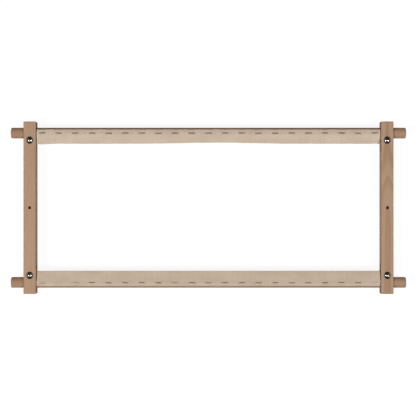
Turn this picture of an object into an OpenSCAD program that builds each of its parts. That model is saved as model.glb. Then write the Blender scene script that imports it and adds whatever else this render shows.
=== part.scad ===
// Scroll frame for needlework. Two side rails, split at their ends, are clamped on two rollers by
// carriage bolts and wing nuts. Each roller has a strip of webbing stapled along it, which the
// fabric is sewn to. X runs along the rollers, +Y is the frame's top edge and +Z its front.
// The origin is in the middle of the frame, on the surface that the wing nuts stand on.
// Sizes are in millimetres.

/* [Frame] */
// Clear width between the side rails
clear_width = 610; // [300:10:900]
// Length of a side rail
rail_length = 305; // [220:5:450]

/* [Side rails] */
// Width of a side rail, seen from the front
rail_width = 22; // [18:0.5:30]
// Depth of a side rail, from its front face to its back face
rail_depth = 27; // [24:0.5:36]
// Rounding along the edges of a side rail
rail_round = 1.5; // [0.5:0.1:3]
// Distance from a rail's end to the roller's axis
roller_inset = 20; // [16:0.5:30]
// Width of the saw cut that splits a rail's end
kerf_width = 5; // [2:0.5:6]
// How far the saw cut runs past the clamp bolt
kerf_past_bolt = 20; // [8:1:40]
// Wood left between the roller's bore and the bolt's hole
bolt_wall = 0.8; // [0.6:0.1:4]
// Diameter of the hole at mid-length, for a stand's bolt
stand_hole_d = 5.2; // [4:0.1:8]

/* [Rollers] */
// Diameter of a roller
roller_d = 19; // [14:0.5:22]
// How far a roller stands out past each side rail
roller_stub = 23; // [5:1:40]
// Rounding of a roller's ends
roller_round = 2; // [0.5:0.1:4]
// Radial clearance of a roller in its bore
bore_clearance = 0.1; // [0.02:0.01:0.1]

/* [Webbing] */
// Width of the webbing
tape_width = 27; // [20:1:40]
// Thickness of the webbing
tape_thickness = 1; // [0.5:0.1:1.5]
// Gap between the end of the webbing and a side rail
tape_side_gap = 1; // [0.5:0.5:8]
// Gap between the webbing and the wood under it
tape_seat_gap = 0.05; // [0.02:0.01:0.2]
// How far round the top roller the webbing starts, in degrees outward of its front
top_lap = 38; // [20:1:60]
// The same on the bottom roller
bottom_lap = 34; // [20:1:60]
// Slope at which the top webbing leaves its roller, in degrees
top_droop = 25; // [2:1:40]
// The same on the bottom roller
bottom_droop = 8; // [2:1:40]

/* [Staples] */
// Staples along each roller
staple_count = 21; // [5:1:21]
// Distance from the end of the webbing to the first staple's middle
staple_end_gap = 9.5; // [8:0.5:20]
// Distance from the webbing's outer edge to the row of staples
staple_inset = 6; // [2:0.5:9]
// Length of a staple's crown
staple_crown = 11; // [6:0.5:13]
// Length of a staple's legs
staple_leg = 6; // [4:0.5:8]
// Thickness of the staple's flat wire
staple_thickness = 0.6; // [0.4:0.1:0.8]
// Width of the staple's flat wire
staple_wire = 1; // [0.6:0.1:1.4]
// Clearance round a staple's legs and under its crown
staple_clearance = 0.04; // [0.02:0.01:0.1]

/* [Clamp bolts] */
// Diameter of the bolt's shank
bolt_d = 4.9; // [4:0.1:6]
// Diameter of the bolt's head
head_d = 13.5; // [10:0.5:15]
// Height of the bolt's head
head_height = 3.2; // [2:0.1:4]
// Height of the upright rim round the head
head_rim = 0.4; // [0.2:0.1:1]
// How much wider than the shank the square neck is
neck_extra = 0.5; // [0.2:0.1:1]
// Length of the square neck
neck_length = 4; // [2:0.5:6]
// Clearance round the square neck in its socket
neck_clearance = 0.05; // [0.02:0.01:0.2]
// Radial clearance of the shank in its hole
bolt_clearance = 0.15; // [0.05:0.05:0.5]
// Chamfer on the bolt's end
bolt_chamfer = 0.7; // [0.3:0.1:1.2]
// How far the bolt's end stays inside the tips of the wings
bolt_end_inset = 1.2; // [0.4:0.1:3]

/* [Washers] */
// Outer diameter of a washer
washer_d = 15; // [12:0.5:16]
// Thickness of a washer
washer_thickness = 1.2; // [0.8:0.1:2]
// Radial clearance of a washer on the shank
washer_clearance = 0.2; // [0.1:0.05:0.4]

/* [Wing nuts] */
// Width across the wings
wing_span = 26; // [23:0.5:34]
// Height of the nut, from its seat to the tips of the wings
wing_height = 13; // [11:0.5:17]
// Radius of a wing's lobe
lobe_radius = 4.2; // [3:0.1:5]
// Radius of a wing where it grows out of the hub
root_radius = 2.6; // [2:0.1:3]
// Thickness of a wing at the nut's axis
wing_thick = 3.6; // [2.5:0.1:4.5]
// Thickness of a wing at its tip
wing_thin = 1.9; // [1.2:0.1:2.4]
// Gap between a wing's root and the nut's seat
wing_foot_gap = 0.8; // [0.3:0.1:1.5]
// Diameter of the hub at its seat
hub_base_d = 11; // [9.5:0.5:13]
// Diameter of the hub at its top
hub_top_d = 9; // [8:0.5:9.5]
// Height of the hub
hub_height = 6.5; // [5:0.5:8]
// Height of the upright band round the hub's seat
hub_band = 1.4; // [0.6:0.1:2]
// Chamfer round the hub's top
hub_chamfer = 0.5; // [0.2:0.1:1]
// Radial clearance of the nut on the shank
nut_clearance = 0.05; // [0.02:0.01:0.1]
// Angle at which each tightened nut came to rest, from the rail's length, in degrees
nut_angle_left_top = 12; // [-30:1:30]
nut_angle_left_bottom = -17; // [-30:1:30]
nut_angle_right_top = -8; // [-30:1:30]
nut_angle_right_bottom = 19; // [-30:1:30]

/* [Hidden] */
$fn = 64;

LEFT = -1;
RIGHT = 1;
TOP = 1;
BOTTOM = -1;

// A cutting body runs this far past the faces that it cuts
overcut = 1;

// Heights of the back face, the rollers' axes and the front face
back_z = wing_height + washer_thickness;
axis_z = back_z + rail_depth / 2;
front_z = back_z + rail_depth;

// Places of the rails, the rollers' axes and the clamp bolts
rail_x = (clear_width + rail_width) / 2;
roller_y = rail_length / 2 - roller_inset;
roller_r = roller_d / 2;
bore_r = roller_r + bore_clearance;
bolt_r = bolt_d / 2;
bolt_hole_r = bolt_r + bolt_clearance;
bolt_y = roller_y - bore_r - bolt_wall - bolt_hole_r;
kerf_length = rail_length / 2 - bolt_y + kerf_past_bolt;
roller_length = clear_width + 2 * (rail_width + roller_stub);

// The square neck and its socket
neck_width = bolt_d + neck_extra;
socket_width = neck_width + 2 * neck_clearance;
bolt_length = rail_depth + washer_thickness + wing_height - bolt_end_inset;

// The webbing's inner and outer radius on its roller, its length and the steps of its bend
tape_inner_r = roller_r + tape_seat_gap;
tape_outer_r = tape_inner_r + tape_thickness;
tape_middle_r = (tape_inner_r + tape_outer_r) / 2;
tape_length = clear_width - 2 * tape_side_gap;
wrap_steps = 14;

// The staples' pitch, and how far from the roller's axis their crowns and points are
staple_pitch = (tape_length - 2 * staple_end_gap) / (staple_count - 1);
crown_top_r = tape_outer_r + staple_clearance + staple_thickness;
point_r = crown_top_r - staple_leg;
leg_x = (staple_crown - staple_thickness) / 2;
staple_bend = 1.5 * staple_thickness;

function unit(angle) = [cos(angle), sin(angle)];
function arc_degrees(length, radius) = length / radius * 180 / PI;
function arc_points(radius, from, to) =
    [for (i = [0 : wrap_steps]) radius * unit(from + (to - from) * i / wrap_steps)];
function staple_angle(lap) = lap - arc_degrees(staple_inset, tape_middle_r);

// A rectangle about the origin with round corners
module round_rectangle(size, radius) {
    square([size.x - 2 * radius, size.y], center = true);
    square([size.x, size.y - 2 * radius], center = true);
    for (x = [-1, 1], y = [-1, 1])
        translate([x * (size.x / 2 - radius), y * (size.y / 2 - radius)])
            circle(radius);
}

// A block about the origin whose edges are all rounded
module round_block(size, radius) {
    intersection() {
        linear_extrude(height = size.z, center = true)
            round_rectangle([size.x, size.y], radius);
        rotate([90, 0, 0])
            linear_extrude(height = size.y, center = true)
                round_rectangle([size.x, size.z], radius);
        rotate([90, 0, 90])
            linear_extrude(height = size.x, center = true)
                round_rectangle([size.y, size.z], radius);
    }
}

// What is cut out of one end of a rail: the roller's bore, the saw cut and the bolt's hole
module rail_end_cuts() {
    translate([0, roller_y, 0])
        rotate([0, 90, 0])
            cylinder(r = bore_r, h = rail_width + 2 * overcut, center = true);
    translate([0, rail_length / 2 - kerf_length / 2 + overcut / 2, 0])
        cube([rail_width + 2 * overcut, kerf_length + overcut, kerf_width], center = true);
    translate([0, bolt_y, 0])
        cylinder(r = bolt_hole_r, h = rail_depth + 2 * overcut, center = true);
    translate([0, bolt_y, rail_depth / 2 - neck_length / 2])
        cube([socket_width, socket_width, neck_length + 2 * neck_clearance], center = true);
}

module side_rail(side) {
    color("burlywood")
        translate([side * rail_x, 0, axis_z])
            difference() {
                round_block([rail_width, rail_length, rail_depth], rail_round);
                rail_end_cuts();
                mirror([0, 1, 0])
                    rail_end_cuts();
                cylinder(d = stand_hole_d, h = rail_depth + 2 * overcut, center = true);
            }
}

// Half the section of a roller, from its axis outwards, with its ends rounded
module roller_half_section() {
    intersection() {
        round_rectangle([roller_d, roller_length], roller_round);
        translate([0, -roller_length / 2])
            square([roller_r, roller_length]);
    }
}

// Puts its children at each staple's place along a roller's axis
module at_each_staple() {
    for (i = [0 : staple_count - 1])
        translate([-tape_length / 2 + staple_end_gap + i * staple_pitch, 0, 0])
            children();
}

// The slots that the staples' legs are driven into
module staple_slots(lap) {
    slot = [
        staple_thickness + 2 * staple_clearance,
        staple_wire + 2 * staple_clearance,
        crown_top_r - point_r + staple_clearance
    ];
    rotate([staple_angle(lap), 0, 0])
        at_each_staple()
            for (side = [-1, 1])
                translate([side * leg_x, 0, point_r - staple_clearance + slot.z / 2])
                    cube(slot, center = true);
}

// Puts a piece that is modelled round the X axis, with its inward side at +Y, on its roller
module on_roller(edge) {
    translate([0, edge * roller_y, axis_z])
        mirror([0, edge == TOP ? 1 : 0, 0])
            children();
}

module roller(edge, lap) {
    color("tan")
        on_roller(edge)
            difference() {
                rotate([0, 90, 0])
                    rotate_extrude()
                        roller_half_section();
                staple_slots(lap);
            }
}

// The webbing's section: wrapped over the roller's front, then straight on towards the fabric
module tape_section(lap, droop) {
    start = 90 + lap;
    leave = 90 - droop;
    flap = tape_width - tape_middle_r * PI / 180 * (start - leave);
    polygon(concat(
        arc_points(tape_outer_r, start, leave),
        [for (radius = [tape_outer_r, tape_inner_r]) radius * unit(leave) + flap * unit(leave - 90)],
        arc_points(tape_inner_r, leave, start)
    ));
}

module tape(edge, lap, droop) {
    color("wheat")
        on_roller(edge)
            difference() {
                rotate([90, 0, 90])
                    linear_extrude(height = tape_length, center = true)
                        tape_section(lap, droop);
                staple_slots(lap);
            }
}

// The outline of a bent wire: upright at its sides, with its two top corners rounded
module arch(width, height, radius) {
    translate([-width / 2, 0])
        square([width, height - radius]);
    translate([radius - width / 2, 0])
        square([width - 2 * radius, height]);
    for (side = [-1, 1])
        translate([side * (width / 2 - radius), height - radius])
            circle(radius);
}

module staple() {
    translate([0, 0, point_r])
        rotate([90, 0, 0])
            linear_extrude(height = staple_wire, center = true)
                difference() {
                    arch(staple_crown, staple_leg, staple_bend);
                    translate([0, -overcut])
                        arch(
                            staple_crown - 2 * staple_thickness,
                            staple_leg + overcut - staple_thickness,
                            staple_bend - staple_thickness
                        );
                }
}

module staples(edge, lap) {
    color("silver")
        on_roller(edge)
            rotate([staple_angle(lap), 0, 0])
                at_each_staple()
                    staple();
}

// Half the section of a bolt's head: a domed cap on a low upright rim
module head_half_section() {
    head_r = head_d / 2;
    cap = head_height - head_rim;
    dome_r = (head_r * head_r + cap * cap) / (2 * cap);
    square([head_r, head_rim]);
    intersection() {
        translate([0, head_height - dome_r])
            circle(dome_r, $fn = 128);
        translate([0, head_rim])
            square([head_r, cap]);
    }
}

module clamp_bolt(side, edge) {
    color("gainsboro")
        translate([side * rail_x, edge * bolt_y, front_z]) {
            rotate_extrude()
                head_half_section();
            translate([0, 0, -neck_length / 2])
                cube([neck_width, neck_width, neck_length], center = true);
            translate([0, 0, bolt_chamfer - bolt_length])
                cylinder(r = bolt_r, h = bolt_length - bolt_chamfer);
            translate([0, 0, -bolt_length])
                cylinder(r1 = bolt_r - bolt_chamfer, r2 = bolt_r, h = bolt_chamfer);
        }
}

module washer(side, edge) {
    color("lightgray")
        translate([side * rail_x, edge * bolt_y, back_z - washer_thickness])
            difference() {
                cylinder(d = washer_d, h = washer_thickness);
                translate([0, 0, -overcut])
                    cylinder(r = bolt_r + washer_clearance, h = washer_thickness + 2 * overcut);
            }
}

// Two circles of different size joined by their common tangents
module tapered_link(from, from_r, to, to_r) {
    span = norm(to - from);
    slope = atan2(to.y - from.y, to.x - from.x);
    spread = asin((to_r - from_r) / span);
    above = unit(slope + 90 + spread);
    below = unit(slope - 90 - spread);
    translate(from)
        circle(from_r);
    translate(to)
        circle(to_r);
    polygon([
        from + from_r * above,
        from + from_r * below,
        to + to_r * below,
        to + to_r * above
    ]);
}

// One wing, standing up from the hub and leaning out, thinner towards its tip
module wing() {
    root = [hub_base_d / 2 - root_radius, wing_foot_gap + root_radius];
    lobe = [wing_span / 2 - lobe_radius, wing_height - lobe_radius];
    intersection() {
        rotate([90, 0, 0])
            linear_extrude(height = wing_thick + overcut, center = true)
                tapered_link(root, root_radius, lobe, lobe_radius);
        linear_extrude(height = wing_height)
            polygon([
                [0, -wing_thick / 2],
                [wing_span / 2, -wing_thin / 2],
                [wing_span / 2, wing_thin / 2],
                [0, wing_thick / 2]
            ]);
    }
}

// Half the section of the hub: an upright band at its seat, then a taper to a chamfered top
module hub_half_section() {
    hub_base_r = hub_base_d / 2;
    hub_top_r = hub_top_d / 2;
    polygon([
        [0, 0],
        [hub_base_r, 0],
        [hub_base_r, hub_band],
        [hub_top_r, hub_height - hub_chamfer],
        [hub_top_r - hub_chamfer, hub_height],
        [0, hub_height]
    ]);
}

// A wing nut on its bolt, seated on the washer, with its wings pointing away from the rail
module wing_nut(side, edge, angle) {
    color("silver")
        translate([side * rail_x, edge * bolt_y, wing_height])
            rotate([180, 0, 90 + angle])
                difference() {
                    union() {
                        rotate_extrude()
                            hub_half_section();
                        wing();
                        mirror([1, 0, 0])
                            wing();
                    }
                    translate([0, 0, -overcut])
                        cylinder(r = bolt_r + nut_clearance, h = wing_height + 2 * overcut);
                }
}

side_rail(LEFT);  // left_side_rail
side_rail(RIGHT);  // right_side_rail
roller(TOP, top_lap);  // top_roller
roller(BOTTOM, bottom_lap);  // bottom_roller
tape(TOP, top_lap, top_droop);  // top_tape
tape(BOTTOM, bottom_lap, bottom_droop);  // bottom_tape
staples(TOP, top_lap);  // top_staples
staples(BOTTOM, bottom_lap);  // bottom_staples
clamp_bolt(LEFT, TOP);  // clamp_bolt_left_top
clamp_bolt(LEFT, BOTTOM);  // clamp_bolt_left_bottom
clamp_bolt(RIGHT, TOP);  // clamp_bolt_right_top
clamp_bolt(RIGHT, BOTTOM);  // clamp_bolt_right_bottom
washer(LEFT, TOP);  // washer_left_top
washer(LEFT, BOTTOM);  // washer_left_bottom
washer(RIGHT, TOP);  // washer_right_top
washer(RIGHT, BOTTOM);  // washer_right_bottom
wing_nut(LEFT, TOP, nut_angle_left_top);  // wing_nut_left_top
wing_nut(LEFT, BOTTOM, nut_angle_left_bottom);  // wing_nut_left_bottom
wing_nut(RIGHT, TOP, nut_angle_right_top);  // wing_nut_right_top
wing_nut(RIGHT, BOTTOM, nut_angle_right_bottom);  // wing_nut_right_bottom
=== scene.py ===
"""Looks of a needlework scroll frame: beech, webbing, fasteners and a plain studio.

It is laid out as an add-on and run as a script. Lengths are in metres, in the frame's own axes:
X along the rollers, +Y towards the top roller and +Z out of the front face."""

import math
from typing import NamedTuple

import bpy
import numpy as np
from bpy.props import FloatProperty, FloatVectorProperty, IntProperty, PointerProperty
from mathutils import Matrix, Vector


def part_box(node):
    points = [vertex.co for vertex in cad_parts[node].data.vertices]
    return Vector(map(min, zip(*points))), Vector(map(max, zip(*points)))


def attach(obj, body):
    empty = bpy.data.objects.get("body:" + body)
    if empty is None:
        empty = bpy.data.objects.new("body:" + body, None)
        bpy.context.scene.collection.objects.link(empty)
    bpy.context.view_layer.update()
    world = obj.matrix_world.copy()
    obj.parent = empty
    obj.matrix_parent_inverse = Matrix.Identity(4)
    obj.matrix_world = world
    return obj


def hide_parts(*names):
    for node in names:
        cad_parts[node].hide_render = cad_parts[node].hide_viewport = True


bl_info = {
    "name": "Scroll Frame Looks",
    "version": (1, 0, 0),
    "blender": (4, 5, 0),
    "location": "3D View > Sidebar > Scroll Frame",
    "description": "Woods, webbing, fasteners and studio of a needlework scroll frame",
    "category": "Object",
}

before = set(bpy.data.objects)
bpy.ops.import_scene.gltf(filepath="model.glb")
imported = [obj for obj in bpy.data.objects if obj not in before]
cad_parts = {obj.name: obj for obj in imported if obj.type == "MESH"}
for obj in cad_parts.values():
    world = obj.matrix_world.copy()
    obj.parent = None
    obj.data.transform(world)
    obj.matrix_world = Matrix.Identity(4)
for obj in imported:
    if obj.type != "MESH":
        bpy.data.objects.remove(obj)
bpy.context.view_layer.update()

MM = 0.001
TURN = 2 * math.pi
SIDES = ("left", "right")
# Which way each roller lies from mid-height
EDGES = {"top": 1, "bottom": -1}
# Seed of the random draws for each roller's staples
SEEDS = {"top": 41, "bottom": 67}
# Painted glint on some staples, by their number from the left: how far their wire is lightened
#  towards the glint colour; the others keep the plain wire tone
PAINTED_GLINTS = {"top": {0: 0.2, 20: 0.25}, "bottom": {0: 0.35, 1: 1.0, 2: 0.7, 8: 0.35, 20: 1.0}}
# Half the length over which a strip straightens where it leaves its roller
STRAIGHTEN = 1.5 * MM


def middle(node):
    """Middle of a CAD node's box."""
    low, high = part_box(node)
    return (low + high) / 2


def extent(node):
    """Length of a CAD node's box along each axis."""
    low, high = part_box(node)
    return high - low


ROLLER_RADIUS = extent("top_roller").y / 2
ROLLER_Y = middle("top_roller").y
AXIS_Z = middle("top_roller").z
FRONT_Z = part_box("left_side_rail")[1].z


def mm(value, name, description):
    """A length that a user may change, given in millimetres."""
    return FloatProperty(
        name=name, description=description, default=value * MM, unit="LENGTH", precision=4
    )


def share(value, name, description):
    """A share from 0 to 1 that a user may change."""
    return FloatProperty(
        name=name, description=description, default=value, min=0, max=1, subtype="FACTOR"
    )


def angle(value, name, description):
    """An angle that a user may change, given in degrees."""
    return FloatProperty(
        name=name, description=description, default=math.radians(value), unit="ROTATION"
    )


def colour(value, name, description):
    """A linear colour that a user may change."""
    return FloatVectorProperty(
        name=name, description=description, default=value, min=0, max=1, subtype="COLOR"
    )


class Finish:
    """A material in the making, with short ways to add shader nodes and join them."""

    def __init__(self, name, roughness=0.5, metallic=0.0):
        old = bpy.data.materials.get(name)
        if old:
            bpy.data.materials.remove(old)
        self.material = bpy.data.materials.new(name)
        self.material.use_nodes = True
        self.nodes = self.material.node_tree.nodes
        self.links = self.material.node_tree.links
        self.surface = self.nodes["Principled BSDF"]
        self.surface.inputs["Roughness"].default_value = roughness
        self.surface.inputs["Metallic"].default_value = metallic

    @classmethod
    def of(cls, owner):
        """The same short ways, for the nodes of something that isn't a material."""
        finish = cls.__new__(cls)
        finish.nodes, finish.links = owner.node_tree.nodes, owner.node_tree.links
        return finish

    def feed(self, socket, value):
        """Sets an input, or links another node's output to it."""
        if isinstance(value, bpy.types.NodeSocket):
            self.links.new(value, socket)
        else:
            socket.default_value = value

    def node(self, kind, inputs=(), **settings):
        """A new node, with its inputs fed and its settings set."""
        made = self.nodes.new(kind)
        for key, value in settings.items():
            setattr(made, key, value)
        for key, value in dict(inputs).items():
            self.feed(made.inputs[key], value)
        return made

    def paint(self, **inputs):
        """Feeds the surface's shader: base_color=..., roughness=..., normal=..."""
        for key, value in inputs.items():
            self.feed(self.surface.inputs[key.replace("_", " ").title()], value)

    def place(self, output="Object"):
        """Where a point is, in its piece's own axes."""
        return self.node("ShaderNodeTexCoord").outputs[output]

    def chart(self):
        """The two values that a piece's points hold, as a vector."""
        return self.node("ShaderNodeUVMap", uv_map="chart").outputs[0]

    def calc(self, operation, *values):
        """One Math node."""
        made = self.node("ShaderNodeMath", operation=operation)
        for socket, value in zip(made.inputs, values):
            self.feed(socket, value)
        return made.outputs[0]

    def chain(self, operation, *values):
        """Math nodes that work through any number of values."""
        total = values[0]
        for value in values[1:]:
            total = self.calc(operation, total, value)
        return total

    def add(self, *values):
        return self.chain("ADD", *values)

    def times(self, *values):
        return self.chain("MULTIPLY", *values)

    def largest(self, *values):
        return self.chain("MAXIMUM", *values)

    def within(self, value, low, high):
        """A value kept between two limits."""
        return self.calc("MINIMUM", self.calc("MAXIMUM", value, low), high)

    def size(self, value):
        """A value without its sign."""
        return self.calc("ABSOLUTE", value)

    def vector(self, operation, first, second=None, output=0):
        """One Vector Math node."""
        made = self.node("ShaderNodeVectorMath", {0: first}, operation=operation)
        if second is not None:
            self.feed(made.inputs[1], second)
        return made.outputs[output]

    def length(self, x, y, z):
        """Distance of a place from the origin."""
        return self.vector("LENGTH", self.join(x, y, z), output=1)

    def split(self, vector):
        """The x, y and z of a vector."""
        return self.node("ShaderNodeSeparateXYZ", {0: vector}).outputs[:3]

    def join(self, x, y, z):
        """A vector from its x, y and z."""
        return self.node("ShaderNodeCombineXYZ", {0: x, 1: y, 2: z}).outputs[0]

    def step(self, value, start, end, low=0.0, high=1.0):
        """Goes smoothly from low, where value is at start, to high, where it is at end."""
        inputs = {"Value": value, "From Min": start, "From Max": end}
        inputs.update({"To Min": low, "To Max": high})
        made = self.node("ShaderNodeMapRange", inputs, interpolation_type="SMOOTHSTEP")
        return made.outputs["Result"]

    def fade(self, value, near, far):
        """1 where value is up to near, and smoothly down to 0 at far."""
        return self.step(value, near, far, 1.0, 0.0)

    def noise(self, vector, stretch, detail=2.0, roughness=0.5, output="Fac"):
        """Cloudy pattern, with stretch lumps to the metre along each axis."""
        place = self.vector("MULTIPLY", vector, stretch)
        inputs = {"Vector": place, "Scale": 1.0, "Detail": detail, "Roughness": roughness}
        return self.node("ShaderNodeTexNoise", inputs).outputs[output]

    def cells(self, vector, stretch):
        """Distance to the nearest cell's middle, and a random value of each cell."""
        place = self.vector("MULTIPLY", vector, stretch)
        made = self.node("ShaderNodeTexVoronoi", {"Vector": place, "Scale": 1.0})
        return made.outputs["Distance"], self.split(made.outputs["Color"])[0]

    def mix(self, amount, first, second):
        """Mixes two colours, through the node's own numbering of its colour sockets."""
        made = self.node("ShaderNodeMix", data_type="RGBA")
        self.feed(made.inputs["Factor"], amount)
        for socket, value in zip((made.inputs[6], made.inputs[7]), (first, second)):
            self.feed(socket, value if isinstance(value, bpy.types.NodeSocket) else (*value, 1))
        return made.outputs[2]

    def blend(self, amount, first, second):
        """Mixes what two shaders show."""
        inputs = {0: amount, 1: first.outputs[0], 2: second.outputs[0]}
        return self.node("ShaderNodeMixShader", inputs)

    def bump(self, height, distance):
        """A normal that follows a relief, which is distance high where height is 1."""
        inputs = {"Height": height, "Distance": distance}
        return self.node("ShaderNodeBump", inputs).outputs["Normal"]


def toned(tone, *scales):
    """A colour with each channel scaled, kept within 0 to 1."""
    return tuple(min(1.0, c * k) for c, k in zip(tone, scales))


def put(name, points, faces, material, body, stands_for, sharp=None, chart=None):
    """Makes a shown piece, ties it to its body and hides the CAD nodes that it stands for.

    Edges bent by more than sharp degrees stay crisp. chart holds two values for each point, which
    the material can read."""
    old = bpy.data.objects.get(name)
    if old:
        bpy.data.objects.remove(old)
    mesh = bpy.data.meshes.new(name)
    mesh.from_pydata(np.asarray(points, float).tolist(), [], [tuple(f) for f in faces])
    mesh.validate()
    if chart is not None:
        uv = mesh.uv_layers.new(name="chart")
        corner = np.zeros(len(mesh.loops), np.int32)
        mesh.loops.foreach_get("vertex_index", corner)
        uv.data.foreach_set("uv", np.asarray(chart, np.float32)[corner].ravel())
    mesh.shade_smooth()
    if sharp is not None:
        mesh.set_sharp_from_angle(angle=math.radians(sharp))
    mesh.materials.append(material)
    piece = bpy.data.objects.new(name, mesh)
    bpy.context.scene.collection.objects.link(piece)
    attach(piece, body)
    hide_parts(*stands_for)
    return piece


def set_material(node, material):
    """Puts one material on a shown CAD node."""
    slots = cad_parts[node].data.materials
    slots.clear()
    slots.append(material)


class Shape:
    """Points and faces that grow one closed form at a time."""

    def __init__(self):
        self.points, self.faces = [], []

    def grow(self, points, faces):
        """Adds a form whose faces count its own points from 0."""
        base = len(self.points)
        self.points.extend(points)
        self.faces.extend([tuple(base + i for i in face) for face in faces])

    def lathe(self, profile, centre, segments, ring=False):
        """Turns (radius, height) points round a Z axis. A ring's profile is a closed loop."""
        angles = [TURN * k / segments for k in range(segments)]
        points = [
            (centre[0] + r * math.cos(a), centre[1] + r * math.sin(a), centre[2] + h)
            for r, h in profile
            for a in angles
        ]
        faces = []
        rows = len(profile)
        for i in range(rows if ring else rows - 1):
            low, high = i * segments, (i + 1) % rows * segments
            for k in range(segments):
                n = (k + 1) % segments
                faces.append((low + k, low + n, high + n, high + k))
        if not ring:
            faces.append(tuple(reversed(range(segments))))
            faces.append(tuple((rows - 1) * segments + k for k in range(segments)))
        self.grow(points, faces)

    def prism(self, outline, levels):
        """Stacks an outline at (scale, height) levels, closed at both ends."""
        count = len(outline)
        cx, cy = (sum(p[i] for p in outline) / count for i in (0, 1))
        points = [
            (cx + (x - cx) * scale, cy + (y - cy) * scale, height)
            for scale, height in levels
            for x, y in outline
        ]
        faces = []
        for i in range(len(levels) - 1):
            low, high = i * count, (i + 1) * count
            for k in range(count):
                n = (k + 1) % count
                faces.append((low + k, low + n, high + n, high + k))
        faces.append(tuple(reversed(range(count))))
        faces.append(tuple((len(levels) - 1) * count + k for k in range(count)))
        self.grow(points, faces)


def corner_arc(centre, radius, start, end, steps=5):
    """Points on an arc, in degrees."""
    angles = [math.radians(start + (end - start) * k / steps) for k in range(steps + 1)]
    return [(centre[0] + radius * math.cos(a), centre[1] + radius * math.sin(a)) for a in angles]


def rounded_rectangle(centre, half_x, half_y, radius, steps):
    """A rectangle with round corners, by half its width and height."""
    outline = []
    for start, (cx, cy) in zip((0, 90, 180, 270), ((1, 1), (-1, 1), (-1, -1), (1, -1))):
        corner = (centre[0] + cx * (half_x - radius), centre[1] + cy * (half_y - radius))
        outline += corner_arc(corner, radius, start, start + 90, steps)
    return outline


class Rings(NamedTuple):
    """How growth rings lie in a stick of wood, in metres from its middle."""

    pith: tuple  # the tree's middle, across the stick and up
    year: float  # width of a ring
    taper: float  # how steeply the rings run out of the wood
    middle: float  # middle of the stretch along the stick in which they do
    reach: float  # half of that stretch


class Cuts(NamedTuple):
    """What is sawn and drilled out of a side rail, in metres."""

    half_kerf: float  # half the saw cut's width
    root: float  # distance from mid-length to where the saw cut starts
    hole: float  # radius of the stand hole
    bore: float  # radius of the rollers' bores


def late_wood(finish, wood, across, along, z, rings):
    """How far a point is into a year's dark wood, from 0 to 1."""
    drift = finish.calc("SUBTRACT", finish.noise(wood, (28, 5, 28), 1), 0.5)
    aside = finish.add(across, finish.times(drift, 6 * MM), -rings.pith[0])
    from_pith = finish.length(aside, 0.0, finish.add(z, -rings.pith[1]))
    slant = finish.calc("TANH", finish.times(finish.add(along, -rings.middle), 1 / rings.reach))
    depth = finish.add(from_pith, finish.times(slant, rings.taper * rings.reach))
    years = finish.add(
        finish.times(depth, 1 / rings.year),
        finish.times(finish.noise(wood, (60, 5, 60), 2), 0.7),
        finish.times(finish.noise(finish.join(depth, 0.0, 0.0), (420, 1, 1), 1), 1.2),
    )
    part = finish.calc("FRACT", years)
    return finish.times(finish.step(part, 0.25, 0.9), finish.fade(part, 0.93, 1.0))


def sawn(finish, across, along, z, cuts):
    """Where a rail's saw cut is, and where its wood is darkened.

    The walls of the saw cut, stand hole and bores, and a band beside the cut, are darkened:
    partly burn from sawing and drilling, partly painted shade.
    """
    up, out = finish.size(z), finish.size(along)
    kerf = finish.times(
        finish.fade(up, cuts.half_kerf, cuts.half_kerf + 0.25 * MM),
        finish.step(out, cuts.root - 0.4 * MM, cuts.root),
    )
    from_hole = finish.length(across, along, 0.0)
    hole = finish.fade(from_hole, cuts.hole, cuts.hole + 0.35 * MM)
    from_bore = finish.length(0.0, finish.add(out, -ROLLER_Y), z)
    bore = finish.fade(from_bore, cuts.bore, cuts.bore + 0.3 * MM)
    # Band beside the saw cut: partly burn, partly painted shade of the cut's dark inside
    stain_and_shade = finish.times(
        finish.fade(up, cuts.half_kerf + 1.8 * MM, cuts.half_kerf + 4.2 * MM),
        finish.step(out, cuts.root - 1.2 * MM, cuts.root + 1.5 * MM),
        0.9,
    )
    return kerf, finish.largest(kerf, hole, bore, stain_and_shade)


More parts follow.
